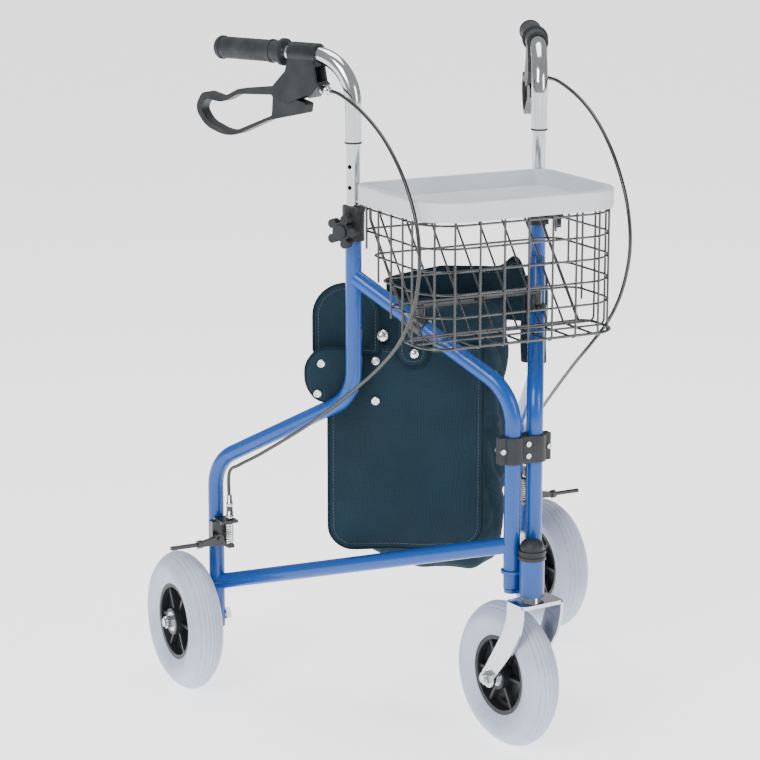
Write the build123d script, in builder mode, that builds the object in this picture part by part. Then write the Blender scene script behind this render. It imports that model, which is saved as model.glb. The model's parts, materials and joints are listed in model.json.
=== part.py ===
"""Folding three-wheeled walking frame with loop brakes, wire basket, tray and bag.

Millimetres, +Z up.  The front of the frame faces -Y and the user stands at +Y.
The origin is on the floor, midway between the two vertical fold axes.
The left side (-X) and the right side (+X) are mirror images.
"""
from build123d import *
import os
from math import cos, hypot, pi, radians, sin, sqrt, tan

os.makedirs("parts", exist_ok=True)

# ---- driving dimensions -------------------------------------------------------
WHEEL_D = 200.0          # all three wheels
RIM_R = 54.0             # bead radius, where tyre and rim meet
TUBE_R = 11.1            # frame tubes are 22.2 mm
TUBE_WALL = 1.5
INSERT_R = 9.5           # lower part of the handle tube, slides in the upright
FIT = 0.08               # radial running clearance
FOLD_X = 16.5            # fold axes stand at x = -FOLD_X and +FOLD_X, y = 0
HEAD_Y = -25.0           # steering axis of the front wheel
CASTER_DEG = 6.0         # how far the front wheel is turned at rest
TRAIL = 50.0
UPRIGHT = (-143.6, 211.7)      # plan position of the left upright
LEG = (-250.9, 437.3)          # plan position of the left rear leg
REAR_WHEEL_X = -302.3
POST_BOTTOM_Z = 225.0
POST_CORNER_Z = 493.0    # where the front post and the diagonal would meet
DIAGONAL_TOP_Z = 626.3   # where the diagonal's axis meets the upright's
SLOPE_TOP_Z = 459.4      # where the upright and the sloping run would meet
SLOPE_FOOT_Z = 329.0     # where the sloping run and the leg would meet
LEG_BOTTOM_Z = 84.0
BAR_REAR_Z = 149.4
BAR_FRONT_Z = 288.5
CLAMP_Z = 418.8
COLLAR_TOP_Z = 722.0
KNOB_Z = 691.0
STEP_Z = 808.0           # the handle tube changes from 22.2 mm to 19 mm here
GRIP_Z = 920.0
GRIP_DEG = 27.0          # the grips splay outward by this much
GRIP_END = 227.0         # distance of the grip's end from the upright's axis
AXLE_R = 6.0
HOLE_PITCH = 28.0        # spacing of the height holes

SIDES = (("left", -1), ("right", 1))
WHEEL_R = WHEEL_D / 2


def mirror_x(point, side):
    """A point given for the left side, on the side asked for."""
    return (-side * point[0],) + tuple(point[1:])


def finish_piece(builder, name):
    builder.part.label = name
    export_step(builder.part, f"parts/{name}.step")


def along(start, direction, distance):
    """A plan point some distance from start."""
    return (start[0] + direction[0] * distance, start[1] + direction[1] * distance)


def unit(start, end):
    length = hypot(end[0] - start[0], end[1] - start[1])
    return ((end[0] - start[0]) / length, (end[1] - start[1]) / length)


FRAME_DIR = unit((-FOLD_X, 0), UPRIGHT)             # from the left post to its upright
UPRIGHT_U = hypot(UPRIGHT[0] + FOLD_X, UPRIGHT[1])
OUTWARD = (-FRAME_DIR[1], FRAME_DIR[0])             # square to the left side frame
GRIP_DIR = (-sin(radians(GRIP_DEG)), cos(radians(GRIP_DEG)))
SPLAY = (-GRIP_DIR[1], GRIP_DIR[0])                 # outward, square to the left grip
DIAGONAL_SLOPE = (DIAGONAL_TOP_Z - POST_CORNER_Z) / UPRIGHT_U


def on_frame(u, z):
    """A point of the left side frame's plane, u from the fold axis."""
    x, y = along((-FOLD_X, 0), FRAME_DIR, u)
    return (x, y, z)


def on_grip(s, z, out=0.0):
    """A point of the left grip's upright plane, s from the upright, moved outward."""
    x, y = along(along(UPRIGHT, GRIP_DIR, s), SPLAY, out)
    return (x, y, z)


# ---- wheels --------------------------------------------------------------------
HUB_HALF = 21.0
BEARING_R = 14.0
BEARING_W = 9.0


def make_wheel(prefix, centre, axle):
    """Tyre, spoked rim and two bearings around a horizontal axle direction."""
    spin = Axis(centre, axle)
    section = Plane(origin=centre, x_dir=axle, z_dir=Vector(axle).cross(Vector(0, 0, 1)))
    # In this plane local X runs along the axle and local Y is vertical.
    radial = 1 if section.y_dir.Z > 0 else -1

    with BuildPart() as tyre:
        with BuildSketch(section):
            with BuildLine():
                crown = WHEEL_R
                shoulder = WHEEL_R - 13.0
                foot = RIM_R + 1.0
                Line((-17, radial * foot), (17, radial * foot))
                Line((17, radial * foot), (21, radial * (foot + 7)))
                Spline((21, radial * (foot + 7)), (25, radial * (foot + 22)),
                       (20, radial * shoulder), (0, radial * crown),
                       (-20, radial * shoulder), (-25, radial * (foot + 22)),
                       (-21, radial * (foot + 7)))
                Line((-21, radial * (foot + 7)), (-17, radial * foot))
            make_face()
        revolve(axis=spin)
    finish_piece(tyre, f"{prefix}_tyre")

    face = Plane(origin=centre, x_dir=(0, 0, 1), z_dir=axle)
    with BuildPart() as rim:
        with BuildSketch(face.offset(-16)):
            Circle(RIM_R + 1.0)
            Circle(RIM_R - 5, mode=Mode.SUBTRACT)
        extrude(amount=32)
        with BuildSketch(face.offset(-HUB_HALF)):
            Circle(19)
        extrude(amount=2 * HUB_HALF)
        with BuildSketch(face.offset(-4)):
            Circle(RIM_R - 4)
            Circle(18, mode=Mode.SUBTRACT)
            with PolarLocations(34, 6):
                SlotOverall(24, 15, rotation=90, mode=Mode.SUBTRACT)
        extrude(amount=8)
        with BuildSketch(face.offset(-13)):
            with PolarLocations(34.5, 6, start_angle=30):
                Rectangle(32, 4)
        extrude(amount=26)
        with BuildSketch(face.offset(-HUB_HALF)):
            Circle(AXLE_R + 1)
        extrude(amount=2 * HUB_HALF, mode=Mode.SUBTRACT)
        for end in (-HUB_HALF, HUB_HALF - BEARING_W):
            with BuildSketch(face.offset(end)):
                Circle(BEARING_R)
            extrude(amount=BEARING_W, mode=Mode.SUBTRACT)
    finish_piece(rim, f"{prefix}_rim")

    with BuildPart() as bearings:
        for end in (-HUB_HALF, HUB_HALF - BEARING_W):
            with BuildSketch(face.offset(end)):
                Circle(BEARING_R)
                Circle(AXLE_R + FIT, mode=Mode.SUBTRACT)
            extrude(amount=BEARING_W)
    finish_piece(bearings, f"{prefix}_bearings")


# ---- tubes ---------------------------------------------------------------------
def bent_tube(points, radii, outer, inner):
    """A hollow tube along straight runs joined by arcs."""
    with BuildPart() as tube:
        with BuildLine():
            if radii is None:
                route = Line(*points)
            else:
                route = FilletPolyline(*points, radius=radii)
        with BuildSketch(Plane(origin=route @ 0, z_dir=route % 0)):
            Circle(outer)
            if inner:
                Circle(inner, mode=Mode.SUBTRACT)
        sweep()
    return tube.part


def post_cutter(plan, low, high, radius):
    """A plain upright cylinder, used to cope one tube to another."""
    with BuildPart() as cutter:
        with BuildSketch(Plane(origin=(plan[0], plan[1], low))):
            Circle(radius)
        extrude(amount=high - low)
    return cutter.part


# ---- front stem: head tube, lugs, clamp ------------------------------------------
LUG_Z = 223.0
LUG_T = 5.0
HEAD_R = 16.8
HEAD_BORE = 14.0
HEAD_TOP_Z = 273.5
STEM_R = 8.0
PIN_R = 4.0
GUIDE_Z = 250.0          # upper lug, a running fit around both posts
GUIDE_T = 4.0
POSTS = ((-FOLD_X, 0), (FOLD_X, 0))
HEAD = (0, HEAD_Y)
EAR_X = 35.2             # side screws of the hinge clamp


def front_stem():
    with BuildPart() as head:
        with BuildSketch(Plane.XY.offset(LUG_Z)):
            with Locations(HEAD):
                Circle(HEAD_R)
        extrude(amount=HEAD_TOP_Z - LUG_Z)
        for base, thickness, lug_r in ((LUG_Z, LUG_T, 10.0), (GUIDE_Z, GUIDE_T, 14.5)):
            with BuildSketch(Plane.XY.offset(base)):
                with Locations(*POSTS):
                    Circle(lug_r)
                Rectangle(2 * FOLD_X, 2 * lug_r)
                with Locations((0, HEAD_Y / 2)):
                    Rectangle(28, -HEAD_Y)
            extrude(amount=thickness)
        with BuildSketch(Plane.XY.offset(LUG_Z)):
            with Locations(HEAD):
                Circle(HEAD_BORE)
            with Locations(*POSTS):
                Circle(PIN_R)
        extrude(amount=HEAD_TOP_Z - LUG_Z, mode=Mode.SUBTRACT)
        with BuildSketch(Plane.XY.offset(GUIDE_Z - 1)):
            with Locations(*POSTS):
                Circle(TUBE_R + FIT)
        extrude(amount=GUIDE_T + 2, mode=Mode.SUBTRACT)
    finish_piece(head, "head_tube")

    with BuildPart() as bushes:
        for base, height in ((LUG_Z, 12), (HEAD_TOP_Z - 12, 12)):
            with BuildSketch(Plane.XY.offset(base)):
                with Locations(HEAD):
                    Circle(HEAD_BORE)
                    Circle(STEM_R + FIT, mode=Mode.SUBTRACT)
            extrude(amount=height)
    finish_piece(bushes, "head_bushes")

    section = Plane(origin=(0, HEAD_Y, 0), x_dir=(1, 0, 0), z_dir=(0, -1, 0))
    with BuildPart() as cap:
        with BuildSketch(section):
            with BuildLine():
                top = HEAD_TOP_Z
                Polyline((14.5, top), (18.6, top), (18.6, top + 4), (17.4, top + 5),
                         (17.4, top + 7.5), (18.6, top + 8.5), (18.6, top + 12),
                         (16.4, top + 13), (16.0, top + 18))
                ThreePointArc((16.0, top + 18), (12.6, top + 24), (7, top + 26.5))
                Polyline((7, top + 26.5), (0, top + 26.5), (0, top + 20), (10, top + 19),
                         (14.5, top + 14), (14.5, top))
            make_face()
        revolve(axis=Axis((0, HEAD_Y, 0), (0, 0, 1)))
    finish_piece(cap, "head_cap")

    with BuildPart() as pins:
        with BuildSketch(Plane.XY.offset(LUG_Z)):
            with Locations(*POSTS):
                Circle(PIN_R)
        extrude(amount=26)
    finish_piece(pins, "fold_pins")

    for name, y_side in (("clamp_front", -1), ("clamp_rear", 1)):
        with BuildPart() as half:
            with BuildSketch(Plane.XY.offset(CLAMP_Z - 18)):
                with Locations(*POSTS):
                    Circle(15.5)
                Rectangle(2 * FOLD_X, 24)
                Rectangle(78, 13)
                with Locations((0, -y_side * 15)):
                    Rectangle(90, 30 + 0.6, mode=Mode.SUBTRACT)
                with Locations(*POSTS):
                    Circle(TUBE_R + FIT, mode=Mode.SUBTRACT)
            extrude(amount=36)
            fillet(half.edges().filter_by(Axis.Z).filter_by(lambda e: abs(e.center().X) > 38), 2.5)
            with BuildSketch(Plane(origin=(0, y_side * 20, CLAMP_Z), x_dir=(1, 0, 0), z_dir=(0, y_side, 0))):
                with Locations((0, -8), (0, 8), (-EAR_X, 0), (EAR_X, 0)):
                    Circle(2.5)
            extrude(amount=-20, mode=Mode.SUBTRACT)
        finish_piece(half, name)

    with BuildPart() as screws:
        for x, z, reach in ((0, -8, 12), (0, 8, 12), (-EAR_X, 0, 6.5), (EAR_X, 0, 6.5)):
            across = Plane(origin=(x, -reach, CLAMP_Z + z), x_dir=(1, 0, 0), z_dir=(0, 1, 0))
            with BuildSketch(across):
                Circle(2.5)
            extrude(amount=2 * reach)
            with BuildSketch(across):
                Circle(3.6)
            extrude(amount=-2)
            with BuildSketch(across.offset(2 * reach)):
                Circle(3.6)
            extrude(amount=2)
    finish_piece(screws, "clamp_screws")


# ---- caster ----------------------------------------------------------------------
CROWN_Z = 213.0
CROWN_T = 5.0
FORK_GAP = 30.0


def caster():
    turn = radians(CASTER_DEG)
    back = (-sin(turn), cos(turn))           # from the steering axis to the wheel
    axle = (cos(turn), sin(turn), 0)
    wheel = (HEAD[0] + back[0] * TRAIL, HEAD[1] + back[1] * TRAIL, WHEEL_R)
    crown = Plane(origin=(HEAD[0], HEAD[1], CROWN_Z), x_dir=axle, z_dir=(0, 0, 1))
    with BuildPart() as fork:
        with BuildSketch(crown):
            with Locations((0, -6)):
                RectangleRounded(2 * FORK_GAP + 8, 42, 10)
        extrude(amount=CROWN_T)
        with BuildSketch(crown.offset(CROWN_T)):
            Circle(13)
        extrude(amount=LUG_Z - CROWN_Z - CROWN_T - 0.3)
        with BuildSketch(crown.offset(CROWN_T)):
            Circle(STEM_R)
        extrude(amount=HEAD_TOP_Z + 12 - CROWN_Z - CROWN_T)
        for x in (-FORK_GAP - 4, FORK_GAP):
            cheek = Plane(origin=(HEAD[0] + axle[0] * x, HEAD[1] + axle[1] * x, 0),
                          x_dir=(back[0], back[1], 0), z_dir=axle)
            with BuildSketch(cheek):
                with BuildLine():
                    top = CROWN_Z + CROWN_T
                    FilletPolyline((-25, top), (8, top), (9, 196), (18, 172), (TRAIL + 13, 104),
                                   (TRAIL + 13, 97), (TRAIL - 13, 97), (TRAIL - 13, 101),
                                   (2, 141), (-18, 172), (-25, 200),
                                   radius=(5, 5, 25, 60, 4, 3, 3, 4, 60, 60, 25), close=True)
                make_face()
                with Locations((TRAIL, WHEEL_R)):
                    Circle(14)
                with Locations((TRAIL, WHEEL_R)):
                    Circle(AXLE_R, mode=Mode.SUBTRACT)
            extrude(amount=4)
    finish_piece(fork, "fork")

    with BuildPart() as nut:
        with BuildSketch(crown.offset(HEAD_TOP_Z + 1 - CROWN_Z)):
            RegularPolygon(11, 6)
            Circle(STEM_R, mode=Mode.SUBTRACT)
        extrude(amount=8)
    finish_piece(nut, "fork_nut")

    side = Plane(origin=wheel, x_dir=(0, 0, 1), z_dir=axle)
    with BuildPart() as bolt:
        with BuildSketch(side.offset(-44)):
            Circle(AXLE_R)
        extrude(amount=88)
        for start, reach in ((-FORK_GAP - 4, -7), (FORK_GAP + 4, 7)):
            with BuildSketch(side.offset(start)):
                RegularPolygon(9.5, 6)
            extrude(amount=reach)
        for start in (-FORK_GAP, HUB_HALF + 0.5):
            with BuildSketch(side.offset(start)):
                Circle(9)
            extrude(amount=FORK_GAP - HUB_HALF - 0.5)
    finish_piece(bolt, "front_axle")
    make_wheel("front", wheel, axle)


# ---- side frames -------------------------------------------------------------------
COLLAR_R = 15.0
SHELF_TIP_R = 225.5      # the basket shelf's tip, measured from the fold axis
BRACE_U = 143.0          # where the brace crosses the diagonal
BRACE_Z = 594.0
BRAKE_Y = 405.0
CABLE_X = -244.0         # the cable comes down beside the leg here


def side_frame(name, side):
    def at(point):
        return mirror_x(point, side)

    upright_xy = at(UPRIGHT)
    leg_xy = at(LEG)
    post_xy = at((-FOLD_X, 0))

    outward = Vector(-side * OUTWARD[0], OUTWARD[1], 0)
    long_tube = bent_tube([at((*UPRIGHT, COLLAR_TOP_Z - 4)), at((*UPRIGHT, SLOPE_TOP_Z)),
                           at((*LEG, SLOPE_FOOT_Z)), at((*LEG, LEG_BOTTOM_Z))],
                          60, TUBE_R, TUBE_R - TUBE_WALL)
    with BuildPart() as main:
        add(long_tube)
        with BuildSketch(Plane(origin=(upright_xy[0], upright_xy[1], KNOB_Z), z_dir=outward)):
            Circle(PIN_R + FIT)
        extrude(amount=20, mode=Mode.SUBTRACT)
        with BuildSketch(Plane(origin=(leg_xy[0] - 20, leg_xy[1], WHEEL_R), z_dir=(1, 0, 0))):
            Circle(AXLE_R)
        extrude(amount=40, mode=Mode.SUBTRACT)
        with BuildSketch(Plane(origin=(leg_xy[0], leg_xy[1], LEG_BOTTOM_Z))):
            Circle(TUBE_R - TUBE_WALL)
        extrude(amount=2)          # the leg's foot is closed
    finish_piece(main, f"{name}_upright_tube")

    post_and_diagonal = bent_tube([(*post_xy, POST_BOTTOM_Z + 4.5), (*post_xy, POST_CORNER_Z),
                                   at(on_frame(UPRIGHT_U - 4, DIAGONAL_TOP_Z - 4 * DIAGONAL_SLOPE))],
                                  70, TUBE_R, TUBE_R - TUBE_WALL)
    with BuildPart() as front:
        add(post_and_diagonal)
        add(post_cutter(upright_xy, 560, 700, TUBE_R), mode=Mode.SUBTRACT)
    finish_piece(front, f"{name}_front_tube")

    with BuildPart() as plug:
        with BuildSketch(Plane.XY.offset(POST_BOTTOM_Z + 4.5)):
            with Locations(post_xy):
                Circle(TUBE_R - TUBE_WALL)
                Circle(PIN_R + FIT, mode=Mode.SUBTRACT)
        extrude(amount=24)
    finish_piece(plug, f"{name}_post_plug")

    straight = bent_tube([(*post_xy, BAR_FRONT_Z), at((*LEG, BAR_REAR_Z))], None,
                         TUBE_R, TUBE_R - TUBE_WALL)
    with BuildPart() as bar:
        add(straight)
        add(post_cutter(post_xy, 240, 340, TUBE_R), mode=Mode.SUBTRACT)
        add(post_cutter(leg_xy, 100, 200, TUBE_R), mode=Mode.SUBTRACT)
    finish_piece(bar, f"{name}_lower_bar")

    with BuildPart() as collar:
        with BuildSketch(Plane.XY.offset(KNOB_Z - 16)):
            with Locations(upright_xy):
                Circle(COLLAR_R)
        extrude(amount=COLLAR_TOP_Z - KNOB_Z + 16)
        with BuildSketch(Plane.XY.offset(COLLAR_TOP_Z - 6)):
            with Locations((upright_xy[0], UPRIGHT[1] - 14)):
                Rectangle(14, 22)
            with Locations(post_xy):
                Circle(SHELF_TIP_R, mode=Mode.SUBTRACT)
        extrude(amount=6)
        boss = Plane(origin=(upright_xy[0], upright_xy[1], KNOB_Z), z_dir=outward)
        with BuildSketch(boss):
            Circle(9)
        extrude(amount=20)
        with BuildSketch(Plane.XY.offset(KNOB_Z - 16)):
            with Locations(upright_xy):
                Circle(TUBE_R)
        extrude(amount=COLLAR_TOP_Z - 4 - KNOB_Z + 16, mode=Mode.SUBTRACT)
        with BuildSketch(Plane.XY.offset(COLLAR_TOP_Z - 4)):
            with Locations(upright_xy):
                Circle(INSERT_R + FIT)
        extrude(amount=4, mode=Mode.SUBTRACT)
        with BuildSketch(boss):
            Circle(PIN_R + FIT)
        extrude(amount=30, mode=Mode.SUBTRACT)
    finish_piece(collar, f"{name}_height_collar")

    with BuildPart() as knob:
        with BuildSketch(boss.offset(20.3)):
            Circle(13)
            with PolarLocations(17, 5):
                Circle(6.2)
        extrude(amount=12)
        with BuildSketch(boss.offset(32.3)):
            Circle(9)
        extrude(amount=3)
        with BuildSketch(boss.offset(INSERT_R + 0.3)):
            Circle(PIN_R)
        extrude(amount=12)
    finish_piece(knob, f"{name}_star_knob")

    sign = -side
    wheel_x = sign * REAR_WHEEL_X
    with BuildPart() as axle:
        shaft = Plane(origin=(sign * (LEG[0] + 16), LEG[1], WHEEL_R), z_dir=(-sign, 0, 0))
        with BuildSketch(shaft):
            Circle(AXLE_R)
        extrude(amount=LEG[0] + 16 - REAR_WHEEL_X + 33)
        with BuildSketch(Plane(origin=(sign * (LEG[0] + TUBE_R), LEG[1], WHEEL_R), z_dir=(sign, 0, 0))):
            RegularPolygon(9, 6)
        extrude(amount=7)
        with BuildSketch(Plane(origin=(sign * (LEG[0] - TUBE_R), LEG[1], WHEEL_R), z_dir=(-sign, 0, 0))):
            Circle(9)
        extrude(amount=LEG[0] - TUBE_R - REAR_WHEEL_X - HUB_HALF - 0.5)
        with BuildSketch(Plane(origin=(wheel_x - sign * (HUB_HALF + 0.5), LEG[1], WHEEL_R),
                               z_dir=(-sign, 0, 0))):
            RegularPolygon(9.5, 6)
        extrude(amount=8)
    finish_piece(axle, f"{name}_rear_axle")
    make_wheel(f"{name}_rear", (wheel_x, LEG[1], WHEEL_R), (-sign, 0, 0))


# ---- parking brake at each rear wheel -----------------------------------------------
BRAKE_PIVOT = (-262.0, 224.0)      # x and z of the pivot, which runs along Y
BRAKE_BAR_Z = 219.0
ANCHOR_Z = 213.5
BRACKET_Z = 246.0


def brake(name, side):
    sign = -side
    leg_front = LEG[1] - TUBE_R
    pivot = (sign * BRAKE_PIVOT[0], BRAKE_PIVOT[1])
    with BuildPart() as bracket:
        with BuildSketch(Plane.XY.offset(BRACKET_Z)):
            with Locations((sign * (LEG[0] + 3), (BRAKE_Y - 9 + leg_front) / 2)):
                Rectangle(26, leg_front - BRAKE_Y + 9)
        extrude(amount=4)
        with BuildSketch(Plane.XY.offset(BRACKET_Z - 36)):
            with Locations((sign * (LEG[0] - 5), (leg_front + BRAKE_Y + 12) / 2)):
                Rectangle(22, leg_front - BRAKE_Y - 12 + 5)
            with Locations(mirror_x(LEG, side)):
                Circle(TUBE_R, mode=Mode.SUBTRACT)
        extrude(amount=36)
        with BuildSketch(Plane(origin=(pivot[0], BRAKE_Y + 12, pivot[1]), x_dir=(1, 0, 0), z_dir=(0, -1, 0))):
            Circle(3)
        extrude(amount=19)
        with BuildSketch(Plane.XY.offset(BRACKET_Z + 4)):
            with Locations((sign * CABLE_X, BRAKE_Y)):
                Circle(4.5)
        extrude(amount=22)
        with BuildSketch(Plane.XY.offset(BRACKET_Z)):
            with Locations((sign * CABLE_X, BRAKE_Y)):
                Circle(2.0)
        extrude(amount=26, mode=Mode.SUBTRACT)
    finish_piece(bracket, f"{name}_brake_bracket")

    plate = Plane(origin=(pivot[0], BRAKE_Y + 4, pivot[1]), x_dir=(sign, 0, 0),
                  z_dir=(0, -sign, 0))
    bar_drop = BRAKE_BAR_Z - BRAKE_PIVOT[1]
    anchor = (CABLE_X - BRAKE_PIVOT[0], ANCHOR_Z - BRAKE_PIVOT[1])
    bar_side = (-sign, 0, 0)
    with BuildPart() as arm:
        with BuildSketch(plate):
            Circle(7)
            with BuildLine():
                Polyline((-6, 3), (-26, bar_drop + 3.5), (-26, bar_drop - 3.5), (2, -8),
                         (anchor[0] - 4, anchor[1] - 5), (anchor[0] + 5, anchor[1] - 5),
                         (anchor[0] + 5, anchor[1]), (anchor[0] - 6, anchor[1]), (6, -1), (-6, 3))
            make_face()
            Circle(3 + FIT, mode=Mode.SUBTRACT)
        extrude(amount=8 * sign)
        with BuildSketch(Plane(origin=(pivot[0] - sign * 18, BRAKE_Y, BRAKE_BAR_Z), z_dir=bar_side)):
            Circle(3.2)
        extrude(amount=56)
        with BuildSketch(Plane(origin=(pivot[0] - sign * 26, BRAKE_Y, BRAKE_BAR_Z), z_dir=bar_side)):
            RegularPolygon(6.5, 6)
        extrude(amount=7)
    finish_piece(arm, f"{name}_brake_arm")

    with BuildPart() as spring:
        with BuildSketch(Plane.XY.offset(ANCHOR_Z + 0.3)):
            with Locations((sign * CABLE_X, BRAKE_Y)):
                Circle(5.2)
                Circle(3.6, mode=Mode.SUBTRACT)
        extrude(amount=BRACKET_Z - ANCHOR_Z - 0.6)
    finish_piece(spring, f"{name}_brake_spring")


# ---- handle, grip and brake lever ------------------------------------------------------
BEND_R = 62.0
PIVOT_S = 91.7
PIVOT_Z = 879.6
GRIP_R = 15.0
CLAMP_S = (56.0, 100.0)
LEVER_HALF = 9.0
CABLE_EXIT = (52.0, 875.0)
BARREL = 18.0


def grip_plane(side, out):
    """Sketch plane through the grip: local X runs rearward, local Y up."""
    origin = mirror_x(on_grip(0, 0, out), side)
    along_grip = mirror_x((*GRIP_DIR, 0), side)
    normal = Vector(*along_grip).cross(Vector(0, 0, 1))
    return Plane(origin=origin, x_dir=along_grip, z_dir=normal)


# the lever and its finger loop, as (distance along the grip, height), with a bend per corner
LEVER_OUTLINE = ((88, 897), (104, 893), (130, 873), (188, 866), (216, 852), (250, 860),
                 (265, 835), (246, 811), (204, 797), (136, 827), (74, 841), (72, 854), (96, 860))
LEVER_BENDS = (4, 4, 8, 20, 30, 13, 18, 40, 60, 20, 3, 3, 4)
LOOP_OPENING = ((128, 862), (188, 859), (216, 845), (244, 849), (255, 835), (242, 818),
                (204, 804), (130, 834))
LOOP_BENDS = (4, 20, 36, 8, 10, 30, 50, 4)


def handle(name, side):
    def at(s, z, out=0.0):
        return mirror_x(on_grip(s, z, out), side)

    bottom = 618.0
    bend = bent_tube([at(0, STEP_Z), at(0, GRIP_Z), at(GRIP_END - 6, GRIP_Z)], BEND_R,
                     TUBE_R, INSERT_R)
    with BuildPart() as mid:
        add(bend)
        with BuildSketch(Plane(origin=at(0, bottom))):
            Circle(INSERT_R)
            Circle(INSERT_R - TUBE_WALL, mode=Mode.SUBTRACT)
        extrude(amount=STEP_Z + 30 - bottom)
        knob_side = Vector(*mirror_x((*OUTWARD, 0), side))
        for step in range(-1, 4):
            hole = Plane(origin=at(0, KNOB_Z + step * HOLE_PITCH), z_dir=knob_side)
            with BuildSketch(hole):
                Circle(3)
            extrude(amount=14, mode=Mode.SUBTRACT)
    finish_piece(mid, f"{name}_handle_tube")

    with BuildPart() as ring:
        with BuildSketch(Plane(origin=at(0, STEP_Z - 2.5))):
            Circle(11.7)
            Circle(INSERT_R, mode=Mode.SUBTRACT)
        extrude(amount=2.5)
    finish_piece(ring, f"{name}_stop_ring")

    direction = mirror_x((*GRIP_DIR, 0), side)
    axis_plane = Plane(origin=at(0, GRIP_Z), x_dir=(0, 0, 1), z_dir=direction)
    with BuildPart() as grip:
        with BuildSketch(axis_plane.offset(112)):
            Circle(GRIP_R)
        extrude(amount=GRIP_END - 112)
        fillet(grip.edges().sort_by(Axis(axis_plane.origin, direction))[-1], 4)
        with BuildSketch(axis_plane.offset(112)):
            Circle(18.5)
        extrude(amount=5)
        for offset_s in (132, 218):
            with BuildSketch(axis_plane.offset(offset_s)):
                Circle(GRIP_R + 1.2)
            extrude(amount=4)
        with BuildSketch(axis_plane.offset(112)):
            Circle(TUBE_R)
        extrude(amount=GRIP_END - 6 - 112, mode=Mode.SUBTRACT)
    finish_piece(grip, f"{name}_grip")

    with BuildPart() as housing:
        with BuildSketch(axis_plane.offset(CLAMP_S[0])):
            Circle(15)
        extrude(amount=CLAMP_S[1] - CLAMP_S[0])
        for inner in (-13.5, LEVER_HALF + 0.5):
            cheek = grip_plane(side, 0).offset(inner)
            with BuildSketch(cheek):
                Polygon((58, 916), (98, 916), (104, 896), (124, 876), (124, 862), (100, 854),
                        (66, 866), (52, 884), align=None)
            extrude(amount=4)
        with BuildSketch(grip_plane(side, 0).offset(-13.5)):
            Polygon((58, 916), (98, 916), (98, 903.8), (58, 903.8), align=None)
        extrude(amount=27)
        with BuildSketch(grip_plane(side, 0).offset(-13.5)):
            Polygon((52, 884), (66, 866), (64, 862), (47, 880), align=None)
        extrude(amount=27)
        with BuildSketch(grip_plane(side, 0).offset(-13.5)):
            with Locations((PIVOT_S, PIVOT_Z)):
                Circle(4)
        extrude(amount=27)
        barrel = Plane(origin=at(*CABLE_EXIT), x_dir=(1, 0, 0), z_dir=(0, -1, -0.05))
        with BuildSketch(barrel):
            Circle(5)
        extrude(amount=BARREL)
        with BuildSketch(axis_plane.offset(CLAMP_S[0] - 1)):
            Circle(TUBE_R)
        extrude(amount=CLAMP_S[1] - CLAMP_S[0] + 2, mode=Mode.SUBTRACT)
    finish_piece(housing, f"{name}_lever_housing")

    with BuildPart() as lever:
        face = grip_plane(side, 0).offset(-LEVER_HALF)
        with BuildSketch(face):
            with Locations((PIVOT_S, PIVOT_Z)):
                Circle(19)
            with BuildLine():
                FilletPolyline(*LEVER_OUTLINE, radius=LEVER_BENDS, close=True)
            make_face()
        extrude(amount=2 * LEVER_HALF)
        with BuildSketch(face):
            with BuildLine():
                FilletPolyline(*LOOP_OPENING, radius=LOOP_BENDS, close=True)
            make_face()
        extrude(amount=2 * LEVER_HALF, mode=Mode.SUBTRACT)
        with BuildSketch(face):
            with Locations((PIVOT_S, PIVOT_Z)):
                Circle(4 + FIT)
        extrude(amount=2 * LEVER_HALF, mode=Mode.SUBTRACT)
    finish_piece(lever, f"{name}_brake_lever")


# ---- brake cables -------------------------------------------------------------------------
CABLE_R = 2.5
CABLE_END_Z = BRACKET_Z + 26


def cable(name, side):
    exit_x, exit_y, exit_z = on_grip(*CABLE_EXIT)
    drop = hypot(1, 0.05)
    start = (exit_x, exit_y - BARREL / drop, exit_z - 0.05 * BARREL / drop)
    route = [start, (start[0], start[1] - 40, start[2] - 2), (-165, 138, 854), (-162, 84, 825),
             (-159.5, 38, 782), (-158, 6, 728), (-158, -2, 672), (-158, 14, 616), (-159.5, 48, 568),
             (-163, 94, 528), (-170, 146, 490), (-181, 200, 452), (-194, 254, 415),
             (-209, 304, 383), (-225, 350, 354), (-238, 384, 334), (CABLE_X, BRAKE_Y, 318),
             (CABLE_X, BRAKE_Y, CABLE_END_Z)]
    points = [Vector(*mirror_x(point, side)) for point in route]
    runs = [after - before for before, after in zip(points, points[1:])]
    radii = []
    for before, after in zip(runs, runs[1:]):
        turn = radians(before.get_angle(after))
        radii.append(0.45 * min(before.length, after.length) / tan(turn / 2))
    print(name, "cable radii", [round(r) for r in radii])
    with BuildPart() as tube:
        with BuildLine():
            line = FilletPolyline(*points, radius=radii)
        with BuildSketch(Plane(origin=line @ 0, z_dir=line % 0)):
            Circle(CABLE_R)
        sweep()
    print(name, "cable", round(line.length), "mm, volume ratio",
          round(tube.part.volume / (pi * CABLE_R ** 2 * line.length), 4))
    finish_piece(tube, f"{name}_brake_cable")


# ---- basket and tray ------------------------------------------------------------------------
BASKET_HALF = 143.5
BASKET_FRONT = -5.0
BASKET_BACK = 198.0
BASKET_TOP = 748.5
BASKET_KINK = 705.0       # the back leans forward below this
BASKET_BOTTOM = 564.0
BOTTOM_BACK = 78.0
FRONT_CORNER = 50.0
BACK_CORNER = 20.0
MESH = 36.0
RING_STEP = 30.0
RIM_WIRE = 2.4
MESH_WIRE = 1.5
SHELF_CLEAR = 0.3


def back_at(z):
    if z >= BASKET_KINK:
        return BASKET_BACK
    lean = (BASKET_BACK - BOTTOM_BACK) / (BASKET_KINK - BASKET_BOTTOM)
    return BASKET_BACK - lean * (BASKET_KINK - z)


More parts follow.
